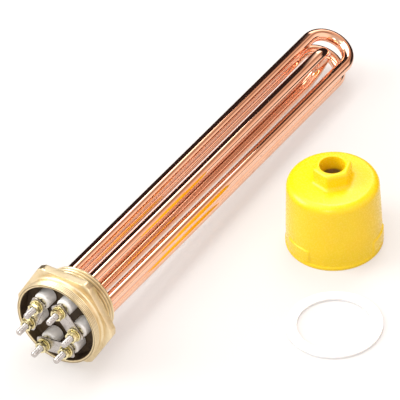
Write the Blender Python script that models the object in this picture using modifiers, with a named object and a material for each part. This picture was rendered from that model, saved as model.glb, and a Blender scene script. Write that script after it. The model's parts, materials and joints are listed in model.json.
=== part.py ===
"""Screw-in immersion heater: three copper U elements in a brass head, with the plastic
terminal cap taken off and the flat sealing ring lying beside it.

All lengths are in metres. The heater is drawn about its own Z axis, with the rim of the
terminal cup at z = 0, the terminals above it and the elements below. An empty then lays it
on the floor as it comes to rest, along +Y, on a flat of the collar and on the inner bend.
The cap stands on its open rim and the ring lies flat. Both are on the +X side.
"""

import math

import bmesh
import bpy
from mathutils import Matrix, Vector

MM = 0.001

# Clearance between pieces that meet, and overlap of bodies that are joined or cut
SEAT_GAP = 0.3 * MM
CUT_MARGIN = 1.0 * MM

# Points nearer than these are one: in a turned skin, and in a finished mesh
TURN_MERGE = 0.01 * MM
WELD_DISTANCE = 0.001 * MM

# Brass head: the main thread is a one and a half inch pipe thread
THREAD_DIA = 47.8 * MM
THREAD_LENGTH = 11.6 * MM
THREAD_CHAMFER = 1.2 * MM
UNDERCUT_DIA = 44.8 * MM
UNDERCUT_LENGTH = 2.4 * MM
COLLAR_FLATS = 60.0 * MM
COLLAR_CORNERS = 67.0 * MM
COLLAR_THICKNESS = 5.4 * MM
COLLAR_CHAMFER = 0.7 * MM
CUP_DIA = 56.0 * MM
CUP_WALL = 1.8 * MM
CUP_DEPTH = 9.0 * MM
CUP_FLOOR_FILLET = 1.4 * MM
CUP_THREAD_LENGTH = 4.8 * MM
CUP_RIM_CHAMFER = 0.4 * MM
NECK_STEP = 0.8 * MM
NECK_COVE = 1.6 * MM
NECK_LENGTH = 3.8 * MM

# Copper elements: legs on one circle, each element joins two of them
LEG_CIRCLE_RADIUS = 16.3 * MM
LEG_FIRST_ANGLE = math.radians(8.2)
SHEATH_DIA = 8.0 * MM
SHEATH_WALL = 0.6 * MM
SHEATH_PROUD = 1.0 * MM
OUTER_REACH = 291.6 * MM
INNER_SETBACK = 14.4 * MM
COLD_LENGTH = 60.0 * MM
PIN_DIA = 3.0 * MM
END_SEAL_LENGTH = 5.0 * MM
SOLDER_WIDTH = 1.6 * MM
SOLDER_HEIGHT = 1.3 * MM

# Terminals
BEAD_DIA = 10.8 * MM
BEAD_LENGTH = 9.0 * MM
BEAD_ROUNDING = 1.4 * MM
BEAD_FOOT_CHAMFER = 0.5 * MM
STUD_DIA = 4.0 * MM
STUD_TIP_HEIGHT = 16.5 * MM
STUD_TIP_CHAMFER = 0.5 * MM
NUT_FLATS = 7.0 * MM
LOWER_NUT_HEIGHT = 2.4 * MM
TOP_NUT_HEIGHT = 3.2 * MM
NUT_CHAMFER = 0.5 * MM
NUT_TURN = math.radians(23.0)
WASHER_DIA = 9.0 * MM
WASHER_THICKNESS = 0.8 * MM
BAR_WIDTH = 9.4 * MM
BAR_THICKNESS = 1.0 * MM
BAR_OVERHANG = 5.0 * MM
BAR_CORNER = 2.2 * MM

# Terminal cap, drawn standing on its open rim
CAP_HEIGHT = 59.5 * MM
CAP_RIM_WALL = 1.9 * MM
CAP_RIM_HEIGHT = 2.2 * MM
CAP_RIM_STEP = 0.6 * MM
CAP_DRAFT = 1.0 * MM
CAP_WALL = 1.9 * MM
CAP_TOP_THICKNESS = 2.2 * MM
CAP_CROWN = 0.6 * MM
CAP_SHOULDER_RADIUS = 5.5 * MM
CAP_THREAD_DEPTH = 13.0 * MM
CAP_LEDGE = 1.0 * MM
BOSS_HEIGHT = 10.6 * MM
BOSS_FLATS = 22.0 * MM
BOSS_DIA = 24.4 * MM
BOSS_ROUNDING = 1.0 * MM
BOSS_HOLE_DIA = 15.8 * MM
BOSS_CORNER_ANGLE = math.radians(-73.0)
PAD_COUNT = 3
PAD_FIRST_ANGLE = math.radians(12.5)
PAD_SPAN = math.radians(36.0)
PAD_PROUD = 0.8 * MM
PAD_BASE_HEIGHT = 3.2 * MM
PAD_HEIGHT = 8.8 * MM
PAD_ROOT = 0.6 * MM

# Sealing ring, which stretches over the main thread into the undercut
RING_WIDTH = 6.8 * MM
RING_THICKNESS = 2.0 * MM
RING_EDGE = 0.35 * MM

# Places on the floor, across and along the heater from the cup's rim
CAP_PLACE = (84.1 * MM, 178.6 * MM)
RING_PLACE = (126.1 * MM, 110.4 * MM)

# Facets
TURN_STEPS = 48
BEAD_STEPS = 18
SMALL_TURN_STEPS = 12
HOLE_STEPS = 16
BEND_STEPS = 10
SHOULDER_STEPS = 6
CORNER_STEPS = 4
BEAD_CORNER_STEPS = 3
PAD_STEPS = 8
SHEATH_ROUND_STEPS = 6
INNER_ROUND_STEPS = 3
COIL_ROUND_STEPS = 2
SHARP_ANGLE = math.radians(32.0)

# Heights along the heater's own axis that follow from the sizes above
NECK_END_Z = -(CUP_THREAD_LENGTH + NECK_LENGTH)
COLLAR_BACK_Z = NECK_END_Z - COLLAR_THICKNESS
FACE_Z = COLLAR_BACK_Z - UNDERCUT_LENGTH - THREAD_LENGTH
CUP_FLOOR_Z = -CUP_DEPTH
SHEATH_TOP_Z = CUP_FLOOR_Z + SHEATH_PROUD
BEAD_BASE_Z = CUP_FLOOR_Z + SEAT_GAP
BEAD_TOP_Z = BEAD_BASE_Z + BEAD_LENGTH
LOWER_NUT_Z = BEAD_TOP_Z + SEAT_GAP
BAR_Z = LOWER_NUT_Z + LOWER_NUT_HEIGHT + SEAT_GAP
WASHER_Z = BAR_Z + BAR_THICKNESS + SEAT_GAP
TOP_NUT_Z = WASHER_Z + WASHER_THICKNESS + SEAT_GAP
SEAL_TOP_Z = SHEATH_TOP_Z - SEAT_GAP
SEAL_BASE_Z = SEAL_TOP_Z - END_SEAL_LENGTH
FILLING_TOP_Z = SEAL_BASE_Z - SEAT_GAP
PIN_BASE_Z = FACE_Z - COLD_LENGTH
COIL_TOP_Z = PIN_BASE_Z - SEAT_GAP

CAP_THREAD_RADIUS = CUP_DIA / 2 + SEAT_GAP
CAP_RIM_RADIUS = CAP_THREAD_RADIUS + CAP_RIM_WALL
SHEATH_RADIUS = SHEATH_DIA / 2
FILLING_RADIUS = SHEATH_RADIUS - SHEATH_WALL - SEAT_GAP
FILLING_BORE = PIN_DIA / 2 + SEAT_GAP
STUD_HOLE = STUD_DIA / 2 + SEAT_GAP

LEG_NAMES = "cbafed"
ELEMENTS = {"ac": OUTER_REACH, "be": OUTER_REACH - INNER_SETBACK, "fd": OUTER_REACH}
BARS = ("bc", "de", "fa")

# Colours and surfaces: base colour, metallic, roughness
SURFACES = {
    "brass": ((0.72, 0.55, 0.27), 1.0, 0.32),
    "copper": ((0.86, 0.50, 0.35), 1.0, 0.14),
    "nickel": ((0.74, 0.72, 0.70), 1.0, 0.25),
    "porcelain": ((0.90, 0.87, 0.83), 0.0, 0.25),
    "magnesia": ((0.80, 0.79, 0.75), 0.0, 0.80),
    "resistance_wire": ((0.45, 0.44, 0.43), 1.0, 0.40),
    "resin": ((0.30, 0.12, 0.06), 0.0, 0.50),
    "silver_solder": ((0.78, 0.73, 0.62), 1.0, 0.35),
    "yellow_plastic": ((0.95, 0.72, 0.03), 0.0, 0.28),
    "silicone": ((0.90, 0.89, 0.87), 0.0, 0.55),
}


def clear_scene():
    """Remove every object of the start-up scene."""
    for thing in list(bpy.data.objects):
        bpy.data.objects.remove(thing, do_unlink=True)


def make_collection(name):
    """Make a collection in the scene."""
    collection = bpy.data.collections.new(name)
    bpy.context.scene.collection.children.link(collection)
    return collection


def make_material(name):
    """Make one of the plain finishes in SURFACES."""
    colour, metallic, roughness = SURFACES[name]
    material = bpy.data.materials.new(name)
    material.use_nodes = True
    shader = material.node_tree.nodes["Principled BSDF"]
    shader.inputs["Base Color"].default_value = (*colour, 1.0)
    shader.inputs["Metallic"].default_value = metallic
    shader.inputs["Roughness"].default_value = roughness
    return material


def arc(centre, radius, start, end, steps):
    """Points of an arc in the profile plane, with both ends; angles are in degrees."""
    points = []
    for step in range(steps + 1):
        angle = math.radians(start + (end - start) * step / steps)
        points.append((centre[0] + radius * math.cos(angle), centre[1] + radius * math.sin(angle)))
    return points


def circle(centre, radius, steps):
    """Points of a whole circle, each once."""
    return arc(centre, radius, 0.0, 360.0, steps)[:-1]


def add_object(name, data, collection, parent=None):
    """Link a new object and hang it on its parent."""
    thing = bpy.data.objects.new(name, data)
    collection.objects.link(thing)
    thing.parent = parent
    return thing


def screw_profile(name, profile, closed, steps, collection):
    """Turn a profile of (radius, height) points about Z; it runs down the outer side."""
    count = len(profile)
    edges = [(i, i + 1) for i in range(count - 1)]
    if closed:
        edges.append((count - 1, 0))
    mesh = bpy.data.meshes.new(name)
    mesh.from_pydata([(radius, 0.0, height) for radius, height in profile], edges, [])
    thing = add_object(name, mesh, collection)
    screw = thing.modifiers.new("turn", "SCREW")
    screw.steps = steps
    screw.render_steps = steps
    screw.use_merge_vertices = True
    screw.merge_threshold = TURN_MERGE
    return thing


def bake(thing):
    """Replace an object by the mesh that its modifiers give, and return that mesh."""
    bpy.context.view_layer.update()
    seen = thing.evaluated_get(bpy.context.evaluated_depsgraph_get())
    mesh = bpy.data.meshes.new_from_object(seen)
    work = bmesh.new()
    work.from_mesh(mesh)
    bmesh.ops.remove_doubles(work, verts=work.verts, dist=WELD_DISTANCE)
    work.to_mesh(mesh)
    work.free()
    bpy.data.objects.remove(thing, do_unlink=True)
    return mesh


def finish_mesh(mesh, name, material):
    """Name a mesh, give it its material and shade its round faces smooth."""
    mesh.name = name
    mesh.materials.clear()
    mesh.materials.append(material)
    mesh.shade_smooth()
    mesh.set_sharp_from_angle(angle=SHARP_ANGLE)
    return mesh


def turned(name, profile, closed, steps, collection):
    """A turned mesh."""
    return bake(screw_profile(name, profile, closed, steps, collection))


def prism(name, sides, across_flats, low, high, corner_angle, collection):
    """A regular prism about Z as an object, with one corner at the angle that is given."""
    work = bmesh.new()
    corner_radius = across_flats / 2 / math.cos(math.pi / sides)
    middle = Matrix.Translation((0.0, 0.0, (low + high) / 2))
    bmesh.ops.create_cone(
        work, cap_ends=True, segments=sides, radius1=corner_radius, radius2=corner_radius,
        depth=high - low, matrix=middle,
    )
    first = min(work.verts, key=lambda vert: abs(math.atan2(vert.co.y, vert.co.x)))
    turn = corner_angle - math.atan2(first.co.y, first.co.x)
    bmesh.ops.rotate(work, verts=work.verts, cent=(0, 0, 0), matrix=Matrix.Rotation(turn, 3, "Z"))
    mesh = bpy.data.meshes.new(name)
    work.to_mesh(mesh)
    work.free()
    return add_object(name, mesh, collection)


def cylinder(name, radius, low, high, centre, steps, collection):
    """A plain cylinder along Z as an object."""
    work = bmesh.new()
    middle = Matrix.Translation((centre[0], centre[1], (low + high) / 2))
    bmesh.ops.create_cone(
        work, cap_ends=True, segments=steps, radius1=radius, radius2=radius,
        depth=high - low, matrix=middle,
    )
    mesh = bpy.data.meshes.new(name)
    work.to_mesh(mesh)
    work.free()
    return add_object(name, mesh, collection)


def combine(base, tools, operation):
    """Apply one exact Boolean for each tool to the base object, and drop the tools."""
    for tool in tools:
        tool.hide_render = True
        tool.display_type = "WIRE"
        step = base.modifiers.new(tool.name, "BOOLEAN")
        step.operation = operation
        step.solver = "EXACT"
        step.object = tool
    mesh = bake(base)
    for tool in tools:
        bpy.data.objects.remove(tool, do_unlink=True)
    return mesh


def leg_place(leg):
    """Where a leg's axis crosses the heater's own XY plane."""
    angle = LEG_FIRST_ANGLE + math.radians(60.0) * LEG_NAMES.index(leg)
    return Vector((math.cos(angle), math.sin(angle), 0.0)) * LEG_CIRCLE_RADIUS


def element_path(element, top):
    """Points of an element's axis: down one leg, round the bend and up the other."""
    start, end = (leg_place(leg) for leg in element)
    middle = (start + end) / 2
    bend_radius = (start - end).length / 2
    across = (start - middle) / bend_radius
    bend_z = FACE_Z - ELEMENTS[element] + SHEATH_RADIUS + bend_radius
    down = Vector((0.0, 0.0, -1.0))
    points = [start + Vector((0.0, 0.0, top))]
    for step in range(BEND_STEPS + 1):
        angle = math.pi * step / BEND_STEPS
        offset = (across * math.cos(angle) + down * math.sin(angle)) * bend_radius
        points.append(middle + Vector((0.0, 0.0, bend_z)) + offset)
    points.append(end + Vector((0.0, 0.0, top)))
    return points


def swept(name, points, radius, rounds, filled, collection):
    """A mesh of round section along a path."""
    curve = bpy.data.curves.new(name, "CURVE")
    curve.dimensions = "3D"
    curve.bevel_depth = radius
    curve.bevel_resolution = rounds
    curve.use_fill_caps = filled
    spline = curve.splines.new("POLY")
    spline.points.add(len(points) - 1)
    for place, point in zip(spline.points, points):
        place.co = (*point, 1.0)
    return bake(add_object(name, curve, collection))


def swept_tube(name, points, radius, wall, rounds, collection):
    """A hollow mesh of round section along a path, open at both ends."""
    skin = add_object(name, swept(name, points, radius, rounds, False, collection), collection)
    shell = skin.modifiers.new("wall", "SOLIDIFY")
    shell.thickness = wall
    shell.offset = -1.0
    shell.use_even_offset = True
    return bake(skin)


def head_profile():
    """Half section of the head without its collar, from the cup's floor round to the end face."""
    cup_radius = CUP_DIA / 2
    bore = cup_radius - CUP_WALL
    neck = cup_radius - NECK_STEP
    undercut = UNDERCUT_DIA / 2
    thread = THREAD_DIA / 2
    collar_middle = NECK_END_Z - COLLAR_THICKNESS / 2
    fillet = (bore - CUP_FLOOR_FILLET, CUP_FLOOR_Z + CUP_FLOOR_FILLET)
    profile = [(0.0, CUP_FLOOR_Z)]
    profile += arc(fillet, CUP_FLOOR_FILLET, -90.0, 0.0, CORNER_STEPS)
    profile += [
        (bore, -CUP_RIM_CHAMFER),
        (bore + CUP_RIM_CHAMFER, 0.0),
        (cup_radius - CUP_RIM_CHAMFER, 0.0),
        (cup_radius, -CUP_RIM_CHAMFER),
        (cup_radius, -CUP_THREAD_LENGTH),
        (neck, -CUP_THREAD_LENGTH - NECK_STEP),
    ]
    profile += arc((neck + NECK_COVE, NECK_END_Z + NECK_COVE), NECK_COVE, 180.0, 270.0, CORNER_STEPS)
    profile += [
        (neck + NECK_COVE, collar_middle),
        (undercut, collar_middle),
        (undercut, COLLAR_BACK_Z - UNDERCUT_LENGTH),
        (thread, COLLAR_BACK_Z - UNDERCUT_LENGTH - (thread - undercut)),
        (thread, FACE_Z + THREAD_CHAMFER),
        (thread - THREAD_CHAMFER, FACE_Z),
        (0.0, FACE_Z),
    ]
    return profile


def collar_profile():
    """Half section of the collar's turned envelope, which chamfers the corners of the hexagon."""
    corner = COLLAR_CORNERS / 2
    in_wall = (CUP_DIA - CUP_WALL) / 2
    return [
        (0.0, NECK_END_Z - COLLAR_THICKNESS / 2),
        (in_wall, NECK_END_Z - COLLAR_THICKNESS / 2),
        (in_wall, NECK_END_Z),
        (corner - 2 * COLLAR_CHAMFER, NECK_END_Z),
        (corner, NECK_END_Z - COLLAR_CHAMFER),
        (corner, COLLAR_BACK_Z + COLLAR_CHAMFER / 2),
        (corner - COLLAR_CHAMFER, COLLAR_BACK_Z),
        (0.0, COLLAR_BACK_Z),
    ]


def make_head(material, model, cutters, parent):
    """Terminal cup, neck, hexagon collar, undercut and main thread, bored for the legs."""
    envelope = screw_profile("collar_envelope", collar_profile(), False, TURN_STEPS, cutters)
    hexagon = prism(
        "collar_hexagon", 6, COLLAR_FLATS, COLLAR_BACK_Z - CUT_MARGIN, NECK_END_Z + CUT_MARGIN,
        0.0, cutters,
    )
    collar = add_object("collar", combine(envelope, [hexagon], "INTERSECT"), cutters)
    body = screw_profile("head_body", head_profile(), False, TURN_STEPS, cutters)
    blank = add_object("head_blank", combine(body, [collar], "UNION"), cutters)
    holes = []
    for leg in LEG_NAMES:
        holes.append(cylinder(
            "hole_" + leg, SHEATH_RADIUS + SEAT_GAP, FACE_Z - CUT_MARGIN, CUP_FLOOR_Z + CUT_MARGIN,
            leg_place(leg), HOLE_STEPS, cutters,
        ))
    mesh = combine(blank, holes, "DIFFERENCE")
    add_object("brass_head", finish_mesh(mesh, "brass_head", material), model, parent)


def make_elements(materials, model, parent):
    """For each element its copper sheath, its packed filling and its heating coil."""
    for element in ELEMENTS:
        outer_path = element_path(element, SHEATH_TOP_Z)
        sheath = swept_tube("sheath", outer_path, SHEATH_RADIUS, SHEATH_WALL, SHEATH_ROUND_STEPS, model)
        filling_path = element_path(element, FILLING_TOP_Z)
        filling = swept_tube(
            "filling", filling_path, FILLING_RADIUS, FILLING_RADIUS - FILLING_BORE, INNER_ROUND_STEPS, model,
        )
        coil_path = element_path(element, COIL_TOP_Z)
        coil = swept("coil", coil_path, PIN_DIA / 2, COIL_ROUND_STEPS, True, model)
        for kind, mesh, finish in (
            ("sheath_", sheath, "copper"),
            ("filling_", filling, "magnesia"),
            ("heating_coil_", coil, "resistance_wire"),
        ):
            name = kind + element
            add_object(name, finish_mesh(mesh, name, materials[finish]), model, parent)


def stud_profile():
    """Half section of a terminal stud and the pin that runs on into the element."""
    stud = STUD_DIA / 2
    pin = PIN_DIA / 2
    step_z = SHEATH_TOP_Z + SEAT_GAP
    return [
        (0.0, STUD_TIP_HEIGHT),
        (stud - STUD_TIP_CHAMFER, STUD_TIP_HEIGHT),
        (stud, STUD_TIP_HEIGHT - STUD_TIP_CHAMFER),
        (stud, step_z + stud - pin),
        (pin, step_z),
        (pin, PIN_BASE_Z),
        (0.0, PIN_BASE_Z),
    ]


def bead_profile():
    """Half section of a porcelain bead, which sits over the sheath's end."""
    outer = BEAD_DIA / 2
    socket = SHEATH_RADIUS + SEAT_GAP
    socket_top = SHEATH_TOP_Z + SEAT_GAP
    top = (outer - BEAD_ROUNDING, BEAD_TOP_Z - BEAD_ROUNDING)
    profile = [(STUD_HOLE, BEAD_TOP_Z)]
    profile += arc(top, BEAD_ROUNDING, 90.0, 0.0, BEAD_CORNER_STEPS)
    profile += [
        (outer, BEAD_BASE_Z + BEAD_FOOT_CHAMFER),
        (outer - BEAD_FOOT_CHAMFER, BEAD_BASE_Z),
        (socket, BEAD_BASE_Z),
        (socket, socket_top),
        (STUD_HOLE, socket_top),
    ]
    return profile


def nut_mesh(name, height, collection):
    """A chamfered hexagon nut that stands on z = 0."""
    corner = NUT_FLATS / 2 / math.cos(math.pi / 6)
    envelope = screw_profile("nut_envelope", [
        (0.0, height),
        (corner - NUT_CHAMFER, height),
        (corner, height - NUT_CHAMFER / 2),
        (corner, NUT_CHAMFER / 2),
        (corner - NUT_CHAMFER, 0.0),
        (0.0, 0.0),
    ], False, SMALL_TURN_STEPS, collection)
    hexagon = prism("nut_hexagon", 6, NUT_FLATS, -CUT_MARGIN, height + CUT_MARGIN, 0.0, collection)
    solid = add_object(name, combine(envelope, [hexagon], "INTERSECT"), collection)
    hole = cylinder(
        "nut_hole", STUD_HOLE, -CUT_MARGIN, height + CUT_MARGIN, (0.0, 0.0), SMALL_TURN_STEPS, collection,
    )
    return combine(solid, [hole], "DIFFERENCE")


def ring_profile(inner, outer, low, high):
    """Half section of a plain ring."""
    return [(inner, high), (outer, high), (outer, low), (inner, low)]


def outline_spline(curve, points):
    """Add a closed outline to a flat curve."""
    spline = curve.splines.new("POLY")
    spline.points.add(len(points) - 1)
    for place, point in zip(spline.points, points):
        place.co = (point[0], point[1], 0.0, 1.0)
    spline.use_cyclic_u = True


def bar_mesh(collection):
    """A flat bus bar with rounded corners and a hole at each terminal, about its middle."""
    curve = bpy.data.curves.new("bar", "CURVE")
    curve.dimensions = "2D"
    curve.fill_mode = "BOTH"
    curve.extrude = BAR_THICKNESS / 2
    hole_x = LEG_CIRCLE_RADIUS / 2
    corner_x = hole_x + BAR_OVERHANG - BAR_CORNER
    corner_y = BAR_WIDTH / 2 - BAR_CORNER
    outline = []
    for side_x, side_y, start in ((1, 1, 0.0), (-1, 1, 90.0), (-1, -1, 180.0), (1, -1, 270.0)):
        centre = (side_x * corner_x, side_y * corner_y)
        outline += arc(centre, BAR_CORNER, start, start + 90.0, CORNER_STEPS)
    outline_spline(curve, outline)
    for side in (-1, 1):
        outline_spline(curve, circle((side * hole_x, 0.0), STUD_HOLE, SMALL_TURN_STEPS))
    return bake(add_object("bar", curve, collection))


def place_copies(kind, mesh, height, turn, model, parent):
    """One object for each leg, all with the same mesh, each turned further than the last."""
    for index, leg in enumerate(LEG_NAMES):
        thing = add_object(kind + "_" + leg, mesh, model, parent)
        thing.location = leg_place(leg) + Vector((0.0, 0.0, height))
        thing.rotation_euler.z = turn * index


def make_terminals(materials, model, cutters, parent):
    """Studs, end seals, beads, nuts, washers and bus bars."""
    stud = turned("stud", stud_profile(), False, SMALL_TURN_STEPS, cutters)
    bead = turned("bead", bead_profile(), True, BEAD_STEPS, cutters)
    seal = turned(
        "seal", ring_profile(FILLING_BORE, FILLING_RADIUS, SEAL_BASE_Z, SEAL_TOP_Z),
        True, SMALL_TURN_STEPS, cutters,
    )
    solder = turned("solder", [
        (SHEATH_RADIUS + SEAT_GAP, FACE_Z - SEAT_GAP),
        (SHEATH_RADIUS + SOLDER_WIDTH, FACE_Z - SEAT_GAP),
        (SHEATH_RADIUS + SEAT_GAP, FACE_Z - SEAT_GAP - SOLDER_HEIGHT),
    ], True, HOLE_STEPS, cutters)
    washer = turned(
        "washer", ring_profile(STUD_HOLE, WASHER_DIA / 2, 0.0, WASHER_THICKNESS), True, BEAD_STEPS, cutters,
    )
    lower_nut = nut_mesh("lower_nut", LOWER_NUT_HEIGHT, cutters)
    top_nut = nut_mesh("top_nut", TOP_NUT_HEIGHT, cutters)
    for kind, mesh, finish, height, turn in (
        ("terminal_stud", stud, "nickel", 0.0, 0.0),
        ("end_seal", seal, "resin", 0.0, 0.0),
        ("porcelain_bead", bead, "porcelain", 0.0, 0.0),
        ("solder_ring", solder, "silver_solder", 0.0, 0.0),
        ("lower_nut", lower_nut, "brass", LOWER_NUT_Z, -NUT_TURN),
        ("washer", washer, "brass", WASHER_Z, 0.0),
        ("top_nut", top_nut, "brass", TOP_NUT_Z, NUT_TURN),
    ):
        place_copies(kind, finish_mesh(mesh, kind, materials[finish]), height, turn, model, parent)
    bar = finish_mesh(bar_mesh(cutters), "bus_bar", materials["nickel"])
    for pair in BARS:
        start, end = (leg_place(leg) for leg in pair)
        thing = add_object("bus_bar_" + pair, bar, model, parent)
        thing.location = (start + end) / 2 + Vector((0.0, 0.0, BAR_Z + BAR_THICKNESS / 2))
        thing.rotation_euler.z = math.atan2(end.y - start.y, end.x - start.x)


def cap_profile():
    """Half section of the cap without its boss and pads, from the crown round to the inside."""
    skirt = CAP_RIM_RADIUS - CAP_RIM_STEP
    shoulder = skirt - CAP_DRAFT
    top_z = CAP_HEIGHT - BOSS_HEIGHT
    edge_z = top_z - CAP_CROWN
    bore = shoulder - CAP_WALL
    inner_top = edge_z - CAP_TOP_THICKNESS
    inner_round = CAP_SHOULDER_RADIUS - CAP_WALL
    outer_centre = (shoulder - CAP_SHOULDER_RADIUS, edge_z - CAP_SHOULDER_RADIUS)
    inner_centre = (bore - inner_round, inner_top - inner_round)
    profile = [(0.0, top_z), (BOSS_FLATS / 2, top_z)]
    profile += arc(outer_centre, CAP_SHOULDER_RADIUS, 90.0, 0.0, SHOULDER_STEPS)
    profile += [
        (skirt, CAP_RIM_HEIGHT + CAP_RIM_STEP),
        (CAP_RIM_RADIUS, CAP_RIM_HEIGHT),
        (CAP_RIM_RADIUS, CAP_RIM_STEP / 2),
        (CAP_RIM_RADIUS - CAP_RIM_STEP / 2, 0.0),
        (CAP_THREAD_RADIUS + CAP_RIM_STEP / 2, 0.0),
        (CAP_THREAD_RADIUS, CAP_RIM_STEP / 2),
        (CAP_THREAD_RADIUS, CAP_THREAD_DEPTH),
        (CAP_THREAD_RADIUS - CAP_LEDGE, CAP_THREAD_DEPTH + CAP_RIM_STEP),
    ]
    profile += arc(inner_centre, inner_round, 0.0, 90.0, CORNER_STEPS)
    profile.append((0.0, inner_top))
    return profile


def boss_profile():
    """Half section of the turned envelope that rounds the boss's top edge."""
    outer = BOSS_DIA / 2
    foot = CAP_HEIGHT - BOSS_HEIGHT - CAP_TOP_THICKNESS / 2
    profile = [(0.0, CAP_HEIGHT)]
    top = (outer - BOSS_ROUNDING, CAP_HEIGHT - BOSS_ROUNDING)
    profile += arc(top, BOSS_ROUNDING, 90.0, 0.0, CORNER_STEPS)
    profile += [(outer, foot), (0.0, foot)]
    return profile


def pad_object(index, collection):
    """A raised grip pad: a section of the skirt's outer wall, swept through the pad's span."""
    outer = CAP_RIM_RADIUS - CAP_RIM_STEP + PAD_PROUD
    inner = outer - PAD_PROUD - PAD_ROOT
    start = PAD_FIRST_ANGLE + math.tau * index / PAD_COUNT - PAD_SPAN / 2
    bevel = PAD_PROUD / 2
    top_z = PAD_BASE_HEIGHT + PAD_HEIGHT
    section = (
        (inner, PAD_BASE_HEIGHT), (outer, PAD_BASE_HEIGHT), (outer, top_z - bevel),
        (outer - bevel, top_z), (inner, top_z),
    )
    work = bmesh.new()
    verts = [
        work.verts.new((radius * math.cos(start), radius * math.sin(start), height))
        for radius, height in section
    ]
    face = work.faces.new(verts)
    bmesh.ops.spin(
        work, geom=[face], cent=(0, 0, 0), axis=(0, 0, 1), angle=PAD_SPAN, steps=PAD_STEPS,
        use_duplicate=False,
    )
    bmesh.ops.recalc_face_normals(work, faces=work.faces)
    mesh = bpy.data.meshes.new("pad")
    work.to_mesh(mesh)
    work.free()
    return add_object("pad_" + str(index), mesh, collection)


def make_cap(material, model, cutters, parent):
    """Terminal cap with its grip pads and the hexagon boss of the cable outlet."""
    boss_envelope = screw_profile("boss_envelope", boss_profile(), False, TURN_STEPS, cutters)
    hexagon = prism(
        "boss_hexagon", 6, BOSS_FLATS, CAP_HEIGHT - BOSS_HEIGHT - CAP_TOP_THICKNESS,
        CAP_HEIGHT + CUT_MARGIN, BOSS_CORNER_ANGLE, cutters,
    )
    boss = add_object("boss", combine(boss_envelope, [hexagon], "INTERSECT"), cutters)
    pads = [pad_object(index, cutters) for index in range(PAD_COUNT)]
    shell = screw_profile("cap_shell", cap_profile(), False, TURN_STEPS, cutters)
    blank = add_object("cap_blank", combine(shell, [boss, *pads], "UNION"), cutters)
    low = CAP_HEIGHT - BOSS_HEIGHT - CAP_SHOULDER_RADIUS - CAP_TOP_THICKNESS
    hole = cylinder(
        "boss_hole", BOSS_HOLE_DIA / 2, low, CAP_HEIGHT + CUT_MARGIN, (0.0, 0.0), 2 * HOLE_STEPS, cutters,
    )
    mesh = combine(blank, [hole], "DIFFERENCE")
    cap = add_object("terminal_cap", finish_mesh(mesh, "terminal_cap", material), model, parent)
    cap.location = (*CAP_PLACE, 0.0)


def make_ring(material, model, cutters, parent):
    """Flat sealing ring; its bore closes on the head's undercut."""
    bore = UNDERCUT_DIA / 2 + SEAT_GAP
    outer = bore + RING_WIDTH
    profile = [
        (bore, RING_THICKNESS),
        (outer - RING_EDGE, RING_THICKNESS),
        (outer, RING_THICKNESS - RING_EDGE),
        (outer, RING_EDGE),
        (outer - RING_EDGE, 0.0),
        (bore, 0.0),
    ]
    mesh = turned("ring", profile, True, TURN_STEPS, cutters)
    ring = add_object("sealing_ring", finish_mesh(mesh, "sealing_ring", material), model, parent)
    ring.location = (*RING_PLACE, 0.0)


def resting_slope():
    """Slope of the axis when the collar's rear edge and the inner element's lower leg rest."""
    lower_leg = leg_place("e")
    bend_radius = LEG_CIRCLE_RADIUS
    bend_z = FACE_Z - ELEMENTS["be"] + SHEATH_RADIUS + bend_radius
    drop = COLLAR_FLATS / 2 + lower_leg.y - SHEATH_RADIUS
    return math.atan2(drop, COLLAR_BACK_Z - bend_z)


def model_bounds(model):
    """Lowest and highest corner of the whole model."""
    bpy.context.view_layer.update()
    depsgraph = bpy.context.evaluated_depsgraph_get()
    corners = []
    for thing in model.objects:
        mesh = thing.evaluated_get(depsgraph).to_mesh()
        corners += [thing.matrix_world @ vert.co for vert in mesh.vertices]
    low = [min(corner[axis] for corner in corners) for axis in range(3)]
    high = [max(corner[axis] for corner in corners) for axis in range(3)]
    return low, high


def main():
    clear_scene()
    model = make_collection("immersion_heater")
    guides = make_collection("guides")
    cutters = make_collection("cutters")
    materials = {name: make_material(name) for name in SURFACES}
    base = add_object("base", None, guides)
    slope = resting_slope()
    heater = add_object("heater_frame", None, guides, base)
    heater.rotation_euler.x = math.pi / 2 - slope
    rest_height = COLLAR_FLATS / 2 * math.cos(slope) - COLLAR_BACK_Z * math.sin(slope)
    heater.location.z = rest_height
    make_head(materials["brass"], model, cutters, heater)
    make_elements(materials, model, heater)
    make_terminals(materials, model, cutters, heater)
    make_cap(materials["yellow_plastic"], model, cutters, base)
    make_ring(materials["silicone"], model, cutters, base)
    low, high = model_bounds(model)
    base.location = (-(low[0] + high[0]) / 2, -(low[1] + high[1]) / 2, -low[2])


main()
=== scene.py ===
"""Looks of a screw-in immersion heater: brass head, copper elements, terminals, the yellow
terminal cap that stands beside it and the sealing ring that lies in front of the cap.

Turned and drawn pieces are made in the heater's own frame, with Z along its axis towards the
terminals, Y up and z = 0 at the rim of the terminal cup. Lengths are in metres.
"""

import json
import math

import bpy
from mathutils import Matrix, Vector


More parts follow.
